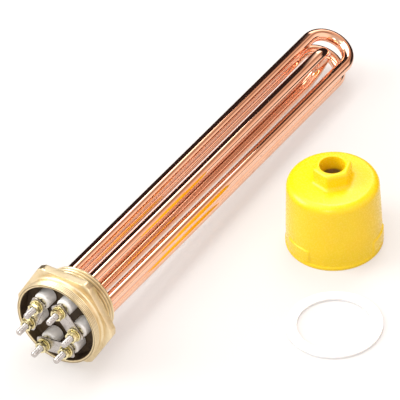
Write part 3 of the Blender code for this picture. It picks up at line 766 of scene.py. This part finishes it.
def make_head(material):
    """Terminal cup, neck, hexagon collar, undercut and pipe thread as one turned skin."""
    floor = -CUP_DEPTH
    fillet = (CUP_BORE - CUP_FILLET, floor + CUP_FILLET)
    rim = CUP_RIM_ROUNDING
    profile = spread((0.0, floor), (fillet[0], floor), 6)
    profile += arc(fillet, CUP_FILLET, -90.0, 0.0)[1:]
    profile += arc((CUP_BORE + rim, -rim), rim, 180.0, 90.0)
    profile += arc((CUP_RADIUS - rim, -rim), rim, 90.0, 0.0)
    cup_thread_start = len(profile)
    profile += thread_rows(CUP_RADIUS, -rim, -CUP_THREAD_LENGTH, CUP_THREAD_PITCH)
    cup_thread_end = len(profile)
    neck_top = -CUP_THREAD_LENGTH - (CUP_RADIUS - NECK_RADIUS)
    neck_foot = COLLAR_FRONT + NECK_COVE
    profile += spread((CUP_RADIUS, -CUP_THREAD_LENGTH), (NECK_RADIUS, neck_top), 3)
    profile += spread((NECK_RADIUS, neck_top), (NECK_RADIUS, neck_foot), 4)
    profile += arc((NECK_RADIUS + NECK_COVE, neck_foot), NECK_COVE, 180.0, 270.0, 6)[1:]
    collar_start = len(profile)
    chamfer = COLLAR_CHAMFER
    profile += [
        (COLLAR_RADIUS - 2 * chamfer, COLLAR_FRONT),
        (COLLAR_RADIUS - 1.8 * chamfer, COLLAR_FRONT - COLLAR_EDGE),
        (COLLAR_RADIUS - 0.2 * chamfer, COLLAR_FRONT - chamfer),
        (COLLAR_RADIUS, COLLAR_FRONT - 1.2 * chamfer),
        (COLLAR_RADIUS, COLLAR_BACK + 0.6 * chamfer),
        (COLLAR_RADIUS - 0.2 * chamfer, COLLAR_BACK + 0.3 * chamfer),
        (COLLAR_RADIUS - 0.8 * chamfer, COLLAR_BACK),
    ]
    collar_end = len(profile)
    undercut_end = COLLAR_BACK - UNDERCUT_LENGTH
    profile += spread((COLLAR_RADIUS, COLLAR_BACK), (UNDERCUT_RADIUS, COLLAR_BACK), 8)[3:]
    profile += spread((UNDERCUT_RADIUS, COLLAR_BACK), (UNDERCUT_RADIUS, undercut_end), 3)
    thread_start = len(profile)
    profile += thread_rows(THREAD_RADIUS, undercut_end, -HEAD_LENGTH, THREAD_PITCH)
    thread_end = len(profile)
    profile += spread((THREAD_RADIUS - THREAD_CHAMFER, -HEAD_LENGTH), (0.0, -HEAD_LENGTH), 6)

    def radius_at(row, angle, radius, height):
        turns = angle / math.tau
        if cup_thread_start <= row < cup_thread_end:
            start_fade = smooth_step((-rim - height) / (0.5 * CUP_THREAD_PITCH))
            depth = CUP_THREAD_DEPTH * start_fade
            return radius - depth * (1.0 - ridge(height / CUP_THREAD_PITCH - turns))
        if collar_start <= row < collar_end:
            inset = COLLAR_INSETS[row - collar_start]
            return min(radius, hexagon_radius(angle, COLLAR_FLATS) - inset)
        if thread_start <= row < thread_end:
            envelope = THREAD_RADIUS - max(0.0, THREAD_CHAMFER - (height + HEAD_LENGTH))
            lead_in = max(0.0, THREAD_CHAMFER - (undercut_end - height))
            crest = THREAD_RADIUS - THREAD_DEPTH * (1.0 - ridge(height / THREAD_PITCH - turns))
            return min(crest, envelope, THREAD_RADIUS - lead_in)
        return radius

    mesh = turned_mesh("brass_head", profile, TURN_STEPS, False, radius_at)
    face_outwards(mesh)
    bore = SHEATH_RADIUS + SEAT_GAP
    ends = (-HEAD_LENGTH - HOLE_MARGIN, floor + HOLE_MARGIN)
    holes = []
    for leg in LEG_NAMES:
        hole = turned_mesh("hole", [(bore, end) for end in ends], SMALL_STEPS, False)
        hole.transform(Matrix.Translation(leg_place(leg)))
        face_outwards(hole)
        holes.append(hole)
    mesh = drill(mesh, holes)
    add_piece("head", mesh, material, HEATER, "brass_head")


def element_stations(element):
    """Points along an element, each with the direction in its plane and its bending share."""
    start, end = (leg_place(leg) for leg in element)
    middle = (start + end) / 2
    bend_radius = (start - end).length / 2
    across = (start - middle) / bend_radius
    down = Vector((0.0, 0.0, -1.0))
    bend_z = -HEAD_LENGTH - ELEMENTS[element] + SHEATH_RADIUS + bend_radius
    sideways = across.cross(down)
    length = SHEATH_TOP - bend_z

    def leg_point(foot, leg, waves, step):
        share = step / LEG_STEPS
        swing = math.sin(math.tau * waves * share + LEG_NAMES.index(leg))
        swing *= math.sin(math.pi * share)
        point = foot + down * (length * share) - down * SHEATH_TOP
        return point + sideways * swing * LEG_WAVER

    stations = []
    for step in range(LEG_STEPS):
        stations.append((leg_point(start, element[0], LEG_WAVES[0], step), across, 0.0))
    for step in range(BEND_STEPS + 1):
        angle = math.pi * step / BEND_STEPS
        outward = across * math.cos(angle) + down * math.sin(angle)
        bent = smooth_step(math.sin(angle) * 2.0)
        point = middle + Vector((0.0, 0.0, bend_z)) + outward * bend_radius
        stations.append((point, outward, bent))
    for step in reversed(range(LEG_STEPS)):
        stations.append((leg_point(end, element[1], LEG_WAVES[1], step), -across, 0.0))
    return stations, sideways


def make_sheath(element, material):
    """One copper U tube, hollow, a little flattened in its bend."""
    stations, sideways = element_stations(element)
    count = len(stations)
    walk = [0.0]
    for before, after in zip(stations, stations[1:]):
        walk.append(walk[-1] + (after[0] - before[0]).length)
    unbent = []

    def place(row, angle):
        outer = row < count
        station = row if outer else 2 * count - 1 - row
        radius = SHEATH_RADIUS if outer else SHEATH_RADIUS - SHEATH_WALL
        point, outward, bent = stations[station]
        flat = 1.0 - BEND_FLATTENING * bent
        unbent.append((radius * math.cos(angle), radius * math.sin(angle), walk[station]))
        out = outward * (radius * flat * math.cos(angle))
        return point + out + sideways * (radius * math.sin(angle))

    mesh = skin_mesh("sheath_" + element, 2 * count, SHEATH_STEPS, place, True)
    drawn = mesh.attributes.new("drawn", "FLOAT_VECTOR", "POINT")
    drawn.data.foreach_set("vector", [number for point in unbent for number in point])
    add_piece("tube_" + element, mesh, material, HEATER, "sheath_" + element)


def make_beads(material):
    """Porcelain beads over the ends of the sheaths."""
    socket = SHEATH_RADIUS + SEAT_GAP
    socket_top = SHEATH_TOP + SEAT_GAP
    foot = 0.5 * MM
    lip = 0.5 * MM
    profile = arc((STUD_HOLE + lip, BEAD_TOP - lip), lip, 180.0, 90.0)
    shoulder = (BEAD_RADIUS - BEAD_ROUNDING, BEAD_TOP - BEAD_ROUNDING)
    profile += arc(shoulder, BEAD_ROUNDING, 90.0, 0.0, 8)
    profile += [
        (BEAD_RADIUS, (BEAD_TOP + BEAD_BASE) / 2),
        (BEAD_RADIUS, BEAD_BASE + foot),
        (BEAD_RADIUS - foot, BEAD_BASE),
        (socket, BEAD_BASE),
        (socket, socket_top),
        (STUD_HOLE, socket_top),
    ]
    for leg in LEG_NAMES:
        mesh = turned_mesh("porcelain_bead", profile, SMALL_STEPS, True)
        place = HEATER @ Matrix.Translation(leg_place(leg))
        add_piece("bead_" + leg, mesh, material, place, "porcelain_bead_" + leg)


def make_studs(material):
    """Threaded terminal studs, each with the pin that runs down into its element."""
    shoulder = SHEATH_TOP + SEAT_GAP
    thread_end = BEAD_TOP - 1.0 * MM
    profile = spread((0.0, STUD_TIP), (STUD_RADIUS - STUD_CHAMFER, STUD_TIP), 2)
    thread_start = len(profile)
    profile += thread_rows(STUD_RADIUS, STUD_TIP, thread_end, STUD_PITCH)
    rows_end = len(profile)
    profile += [
        (STUD_RADIUS, thread_end - STUD_PITCH),
        (STUD_RADIUS, shoulder + STUD_RADIUS - PIN_RADIUS),
        (PIN_RADIUS, shoulder),
        (PIN_RADIUS, PIN_BASE),
    ]

    def radius_at(row, angle, radius, height):
        if not thread_start <= row < rows_end:
            return radius
        turns = height / STUD_PITCH - angle / math.tau
        crest = STUD_RADIUS - STUD_THREAD_DEPTH * (1.0 - ridge(turns))
        return min(crest, STUD_RADIUS - max(0.0, STUD_CHAMFER - (STUD_TIP - height)))

    for index, leg in enumerate(LEG_NAMES):
        mesh = turned_mesh("terminal_stud", profile, STUD_STEPS, False, radius_at)
        turn = Matrix.Rotation(index, 4, "Z")
        place = HEATER @ Matrix.Translation(leg_place(leg)) @ turn
        add_piece("stud_" + leg, mesh, material, place, "terminal_stud_" + leg)


def nut_mesh(height):
    """A hexagon nut with turned chamfers and a countersunk hole, standing on z = 0."""
    corner = NUT_FLATS / math.sqrt(3.0)
    face = corner - NUT_CHAMFER - NUT_FACE_EDGE
    hole = STUD_HOLE
    sink = NUT_COUNTERSINK
    profile = [
        (hole, sink), (hole, height - sink), (hole + sink, height),
        (face, height), (corner - NUT_CHAMFER, height - NUT_FACE_DROP),
        (corner, height - NUT_CHAMFER / 2), (corner, height / 2), (corner, NUT_CHAMFER / 2),
        (corner - NUT_CHAMFER, NUT_FACE_DROP), (face, 0.0), (hole + sink, 0.0),
    ]

    def radius_at(row, angle, radius, height_here):
        inset = NUT_FACE_INSET if row in NUT_FACE_ROWS else 0.0
        return min(radius, soft_hexagon_radius(angle, NUT_FLATS, 0.0, NUT_CORNER_POWER) - inset)

    return turned_mesh("nut", profile, 2 * SMALL_STEPS, True, radius_at)


def make_nuts_and_washers(material):
    """Lower nuts, washers and top nuts on every stud."""
    washer = eased_ring(STUD_HOLE, WASHER_RADIUS, WASHER_THICKNESS, WASHER_ROUNDING, 2)
    for index, leg in enumerate(LEG_NAMES):
        spot = HEATER @ Matrix.Translation(leg_place(leg))
        for kind, mesh, base, turn in (
            ("lower_nut_", nut_mesh(LOWER_NUT_HEIGHT), LOWER_NUT_BASE, -NUT_TURN),
            ("washer_", turned_mesh("washer", washer, SMALL_STEPS, True), WASHER_BASE, 0.0),
            ("top_nut_", nut_mesh(TOP_NUT_HEIGHT), TOP_NUT_BASE, NUT_TURN),
        ):
            seat = spot @ Matrix.Translation((0.0, 0.0, base))
            place = seat @ Matrix.Rotation(turn * index, 4, "Z")
            add_piece(kind + "shown_" + leg, mesh, material, place, kind + leg)


def bar_outline(curve, points):
    """Add a closed outline to a flat curve."""
    spline = curve.splines.new("POLY")
    spline.points.add(len(points) - 1)
    for place, point in zip(spline.points, points):
        place.co = (point[0], point[1], 0.0, 1.0)
    spline.use_cyclic_u = True


def make_bars(material):
    """Flat bus bars with rounded corners and eased edges."""
    hole_x = LEG_CIRCLE / 2
    corner_x = hole_x + BAR_OVERHANG - BAR_CORNER
    corner_y = BAR_WIDTH / 2 - BAR_CORNER
    outline = []
    for side_x, side_y, start in ((1, 1, 0.0), (-1, 1, 90.0), (-1, -1, 180.0), (1, -1, 270.0)):
        outline += arc((side_x * corner_x, side_y * corner_y), BAR_CORNER, start, start + 90.0, 8)
    for pair in BARS:
        curve = bpy.data.curves.new("bar", "CURVE")
        curve.dimensions = "2D"
        curve.fill_mode = "BOTH"
        curve.extrude = BAR_THICKNESS / 2
        bar_outline(curve, outline)
        for side in (-1, 1):
            bar_outline(curve, arc((side * hole_x, 0.0), STUD_HOLE, 0.0, 360.0, SMALL_STEPS)[:-1])
        bar = put("bar", bake(put("blank", curve)))
        weld = bar.modifiers.new("weld", "WELD")
        weld.merge_threshold = 0.001 * MM
        ease = bar.modifiers.new("ease", "BEVEL")
        ease.width = BAR_EDGE
        ease.segments = 3
        ease.limit_method = "ANGLE"
        ease.angle_limit = math.radians(60.0)
        mesh = bake(bar)
        start, end = (leg_place(leg) for leg in pair)
        middle = (start + end) / 2 + Vector((0.0, 0.0, BAR_BASE + BAR_THICKNESS / 2))
        turn = Matrix.Rotation(math.atan2(end.y - start.y, end.x - start.x), 4, "Z")
        place = HEATER @ Matrix.Translation(middle) @ turn
        add_piece("bar_" + pair, mesh, material, place, "bus_bar_" + pair)


def make_solder(material):
    """Brazed fillets where the legs leave the end face."""
    inner = SHEATH_RADIUS + SEAT_GAP
    face = -HEAD_LENGTH - SEAT_GAP
    profile = [(inner, face), (SHEATH_RADIUS + SOLDER_WIDTH, face)]
    profile += [
        (
            inner + (SOLDER_WIDTH - SEAT_GAP) * (1.0 - share) ** SOLDER_HOLLOW,
            face - SOLDER_HEIGHT * share,
        )
        for share in (0.15, 0.35, 0.6, 0.85, 1.0)
    ]
    for phase, leg in enumerate(LEG_NAMES):

        def radius_at(row, angle, radius, height, phase=phase):
            if row == 0 or radius <= inner:
                return radius
            lumps = math.sin(3.0 * angle + phase) + 0.6 * math.sin(7.0 * angle + 2.0 * phase)
            return radius - (radius - inner) * SOLDER_UNEVEN * (1.0 + lumps)

        mesh = turned_mesh("solder", profile, SMALL_STEPS, True, radius_at)
        place = HEATER @ Matrix.Translation(leg_place(leg))
        add_piece("braze_" + leg, mesh, material, place, "solder_ring_" + leg)


def make_cap(material):
    """Terminal cap: hexagon boss, crown, skirt with grip pads, rim and threaded inside."""
    shoulder_radius = CAP_SKIRT_RADIUS - CAP_DRAFT
    top = CAP_HEIGHT - BOSS_HEIGHT
    edge = top - CAP_CROWN
    bore = shoulder_radius - CAP_WALL
    inner_top = edge - CAP_TOP_THICKNESS
    inner_round = CAP_SHOULDER - CAP_WALL
    boss = BOSS_FLATS / 2
    profile = spread((BOSS_HOLE, inner_top), (BOSS_HOLE, CAP_HEIGHT - BOSS_LIP), 4)
    profile += arc((BOSS_HOLE + BOSS_LIP, CAP_HEIGHT - BOSS_LIP), BOSS_LIP, 180.0, 90.0)[1:]
    hex_start = len(profile)
    profile += arc((boss - BOSS_ROUNDING, CAP_HEIGHT - BOSS_ROUNDING), BOSS_ROUNDING, 90.0, 0.0, 6)
    profile += spread((boss, CAP_HEIGHT - BOSS_ROUNDING), (boss, top + BOSS_FILLET), 5)
    profile += arc((boss + BOSS_FILLET, top + BOSS_FILLET), BOSS_FILLET, 180.0, 270.0, 6)[1:]
    hex_end = len(profile)
    shoulder = (shoulder_radius - CAP_SHOULDER, edge - CAP_SHOULDER)
    profile += spread((boss + BOSS_FILLET, top), (shoulder[0], edge), 8)[2:]
    profile += arc(shoulder, CAP_SHOULDER, 90.0, 0.0, 16)[1:]
    skirt_start = len(profile)
    above_pads = (CAP_SKIRT_RADIUS, PAD_TOP + 2.0 * PAD_EDGE)
    profile += spread((shoulder_radius, shoulder[1]), above_pads, 8)
    profile += spread(above_pads, (CAP_SKIRT_RADIUS, CAP_RIM_HEIGHT + CAP_RIM_STEP), 40)
    skirt_end = len(profile)
    lip = CAP_RIM_STEP / 2
    profile += arc((CAP_RIM_RADIUS - lip, CAP_RIM_HEIGHT - lip), lip, 90.0, 0.0)
    profile += arc((CAP_RIM_RADIUS - lip, lip), lip, 0.0, -90.0)
    profile += arc((CAP_THREAD_RADIUS + lip, lip), lip, 270.0, 180.0)
    thread_start = len(profile)
    rows = round(CAP_THREAD_DEPTH / CUP_THREAD_PITCH) * ROWS_PER_PITCH // 2
    profile += spread((CAP_THREAD_RADIUS, lip), (CAP_THREAD_RADIUS, CAP_THREAD_DEPTH), rows)
    thread_end = len(profile)
    profile += [(CAP_THREAD_RADIUS - CAP_LEDGE, CAP_THREAD_DEPTH + CAP_RIM_STEP)]
    profile += arc((bore - inner_round, inner_top - inner_round), inner_round, 0.0, 90.0, 8)

    def pad_share(angle, height):
        share = 0.0
        for index in range(PAD_COUNT):
            centre = PAD_FIRST_ANGLE + math.tau * index / PAD_COUNT
            away = abs((angle - centre + math.pi) % math.tau - math.pi)
            inside = (PAD_SPAN / 2 - away) * CAP_SKIRT_RADIUS
            share = max(share, smooth_step(inside / PAD_EDGE + 0.5))
        tall = smooth_step((PAD_TOP - height) / PAD_EDGE + 0.5)
        low = smooth_step((height - PAD_BASE) / PAD_EDGE + 0.5)
        return share * tall * low

    def radius_at(row, angle, radius, height):
        if hex_start <= row < hex_end:
            hexagon = soft_hexagon_radius(angle, BOSS_FLATS, BOSS_CORNER_ANGLE, BOSS_CORNER_POWER)
            return radius - boss + hexagon
        if skirt_start <= row < skirt_end:
            return radius + PAD_PROUD * pad_share(angle, height)
        if thread_start <= row < thread_end:
            turns = height / CUP_THREAD_PITCH - angle / math.tau
            return radius + CUP_THREAD_DEPTH * (1.0 - ridge(turns))
        return radius

    mesh = turned_mesh("terminal_cap", profile, CAP_STEPS, True, radius_at)
    place = standing_frame("terminal_cap")
    add_piece("cap", mesh, material, place, "terminal_cap")


def make_ring(material):
    """Flat sealing ring with eased edges."""
    profile = eased_ring(RING_BORE, RING_RADIUS, RING_THICKNESS, RING_ROUNDING)
    mesh = turned_mesh("sealing_ring", profile, TURN_STEPS, True)
    add_piece("ring", mesh, material, standing_frame("sealing_ring"), "sealing_ring")


def dress_inner_pieces():
    """Materials for the solids that stay as they are, inside the elements."""
    finishes = {
        "filling_": plain_matter("packed_powder", POWDER_TONES, 0.75, 0.0, 900.0),
        "heating_coil_": plain_matter("wound_wire", WIRE_TONES, 0.35, 1.0, 600.0),
        "end_seal_": plain_matter("set_resin", RESIN_TONES, 0.45, 0.0, 400.0),
    }
    for name, node in frame["nodes"].items():
        for start, matter in finishes.items():
            if name.startswith(start):
                node.data.materials.clear()
                node.data.materials.append(matter)


# Studio


def studio_world():
    """A warm room with a bright ceiling and a backlight high behind, dim on the left and low
    behind the set; a camera ray that misses the floor sees white."""
    world = bpy.data.worlds.new("studio")
    bpy.context.scene.world = world
    world.use_nodes = True
    tree = world.node_tree
    tree.nodes.clear()
    direction = add(tree, "ShaderNodeTexCoord").outputs["Generated"]
    split = add(tree, "ShaderNodeSeparateXYZ", {0: direction})
    x, y, z = split.outputs["X"], split.outputs["Y"], split.outputs["Z"]
    flat = add(tree, "ShaderNodeCombineXYZ", {"X": x, "Z": z})
    unit = add(tree, "ShaderNodeVectorMath", {0: flat.outputs[0]}, operation="NORMALIZE")
    slant = add(tree, "ShaderNodeSeparateXYZ", {0: unit.outputs[0]}).outputs["X"]

    def zone(*limits):
        """The share of a zone that a direction lies in."""
        return product(tree, *[map_range(tree, value, *edges) for value, edges in limits])

    ceiling = zone((z, CEILING_Z), (x, CEILING_X))
    backlight = zone((y, BACKLIGHT_Y), (z, BACKLIGHT_Z), (x, BACKLIGHT_X))
    bright = maths(tree, "MAXIMUM", ceiling, backlight)
    gap = zone((slant, GAP_START_SLANT), (slant, GAP_END_SLANT), (y, AWAY_Y))
    left = zone((slant, LEFT_SLANT), (y, AWAY_Y))
    dim_left = product(tree, left, maths(tree, "SUBTRACT", 1.0, bright))
    low_behind = zone((y, LOW_BEHIND_Y), (z, LOW_BEHIND_Z))
    dim = maths(tree, "MAXIMUM", dim_left, low_behind)
    room = WALL_LIGHT
    for share, light in (
        (zone((y, FRONT_Y)), FRONT_LIGHT), (zone((x, RIGHT_X)), RIGHT_LIGHT),
        (bright, CEILING_LIGHT), (product(tree, gap, GAP_SHARE), GAP_LIGHT), (dim, DIM_LIGHT),
    ):
        room = blend_colours(tree, share, room, light)
    rays = add(tree, "ShaderNodeLightPath")
    seen = blend_colours(tree, rays.outputs["Is Camera Ray"], room, (1.0, 1.0, 1.0))
    background = add(tree, "ShaderNodeBackground", {"Color": seen, "Strength": 1.0})
    output = add(tree, "ShaderNodeOutputWorld")
    tree.links.new(background.outputs[0], output.inputs[0])


def softbox(name, centre, target, size, radiance, colour, shape="RECTANGLE"):
    """An area lamp that faces its target with an even brightness."""
    lamp = bpy.data.lights.new(name, "AREA")
    lamp.shape = shape
    lamp.size, lamp.size_y = size
    area = size[0] * size[1] * (math.pi / 4 if shape == "ELLIPSE" else 1.0)
    lamp.energy = radiance * math.pi * area
    lamp.color = colour
    thing = put(name, lamp)
    thing.location = centre
    aim = (Vector(target) - Vector(centre)).to_track_quat("-Z", "Y")
    thing.rotation_euler = aim.to_matrix().to_euler()


def studio_lamps():
    """A large key light from the picture's left, a fill in front and an oval light high behind."""
    softbox(
        "key", centre=(-1.30, -0.80, 1.10), target=(0.0, 0.0, 0.0), size=(1.0, 1.0),
        radiance=6.5, colour=(1.0, 0.99, 0.97),
    )
    softbox(
        "fill", centre=(0.35, -0.95, 0.60), target=(-0.06, -0.15, 0.03), size=(0.3, 0.3),
        radiance=7.0, colour=(1.0, 0.99, 0.98),
    )
    softbox(
        "overhead", centre=(-0.16, 0.43, 0.86), target=(-0.15, -0.02, 0.03), size=(0.34, 0.62),
        radiance=4.5, colour=(1.0, 0.99, 0.98), shape="ELLIPSE",
    )


def floor():
    """Pale floor: it takes the shadows and reads as white where nothing shades it. To the left of
    the elements and behind them it mirrors dark, as a black flag beside the set would."""
    half = FLOOR_HALF
    mesh = bpy.data.meshes.new("floor")
    corners = [(-half, -half, 0.0), (half, -half, 0.0), (half, half, 0.0), (-half, half, 0.0)]
    mesh.from_pydata(corners, [], [(0, 1, 2, 3)])
    thing = put("floor", mesh)
    material = bpy.data.materials.new("white_table")
    material.use_nodes = True
    tree = material.node_tree
    tree.nodes.clear()
    rays = add(tree, "ShaderNodeLightPath").outputs
    position = add(tree, "ShaderNodeNewGeometry").outputs["Position"]
    place = add(tree, "ShaderNodeSeparateXYZ", {0: position}).outputs
    beside = map_range(tree, place["X"], *FLAG_LEFT_X)
    past_head = map_range(tree, place["Y"], *FLAG_LEFT_Y)
    behind = map_range(tree, place["Y"], *FLAG_BEHIND_Y)
    flagged = maths(tree, "MAXIMUM", product(tree, beside, past_head), behind)
    flagged = product(tree, flagged, rays["Is Glossy Ray"])
    colour = blend_colours(tree, flagged, FLOOR_CLOTH, FLOOR_FLAG)
    cloth = add(tree, "ShaderNodeBsdfDiffuse", {"Color": colour})
    shown = maths(tree, "MAXIMUM", rays["Is Camera Ray"], rays["Is Glossy Ray"])
    shown = maths(tree, "MAXIMUM", shown, rays["Is Transmission Ray"])
    shown = product(tree, shown, maths(tree, "SUBTRACT", 1.0, flagged), FLOOR_GLOW_STRENGTH)
    glow = add(tree, "ShaderNodeEmission", {"Color": FLOOR_GLOW, "Strength": shown})
    both = add(tree, "ShaderNodeAddShader")
    output = add(tree, "ShaderNodeOutputMaterial")
    tree.links.new(cloth.outputs[0], both.inputs[0])
    tree.links.new(glow.outputs[0], both.inputs[1])
    tree.links.new(both.outputs[0], output.inputs[0])
    mesh.materials.append(material)


def camera():
    """The camera at the photograph's viewing angle."""
    rim = HEATER.translation
    target = Vector((rim.x + AIM_ACROSS, rim.y + AIM_ALONG, 0.0))
    sine, cosine = math.sin(CAMERA_AZIMUTH), math.cos(CAMERA_AZIMUTH)
    rise, reach = math.sin(CAMERA_ELEVATION), math.cos(CAMERA_ELEVATION)
    look = Vector((-sine * reach, cosine * reach, -rise))
    right = Vector((cosine, sine, 0.0))
    up = right.cross(look)
    rolled_right = math.cos(CAMERA_ROLL) * right - math.sin(CAMERA_ROLL) * up
    rolled_up = math.sin(CAMERA_ROLL) * right + math.cos(CAMERA_ROLL) * up
    data = bpy.data.cameras.new("camera")
    data.sensor_width = SENSOR_WIDTH
    data.lens = FOCAL_LENGTH / IMAGE_SIZE * SENSOR_WIDTH
    data.clip_end = 50.0
    thing = put("camera", data)
    turn = Matrix((rolled_right, rolled_up, -look)).transposed().to_4x4()
    thing.matrix_world = Matrix.Translation(target - look * CAMERA_DISTANCE) @ turn
    bpy.context.scene.camera = thing


def main():
    """The camera, the studio and every piece."""
    camera()
    floor()
    studio_world()
    studio_lamps()
    make_head(head_brass())
    copper = bright_copper()
    for element in ELEMENTS:
        make_sheath(element, copper)
    make_beads(glazed_porcelain())
    plating = plated_steel()
    make_studs(plating)
    make_bars(plating)
    make_nuts_and_washers(terminal_brass())
    make_solder(silver_solder())
    make_cap(yellow_plastic())
    make_ring(white_silicone())
    dress_inner_pieces()
    bpy.context.scene.view_settings.view_transform = "Standard"


main()
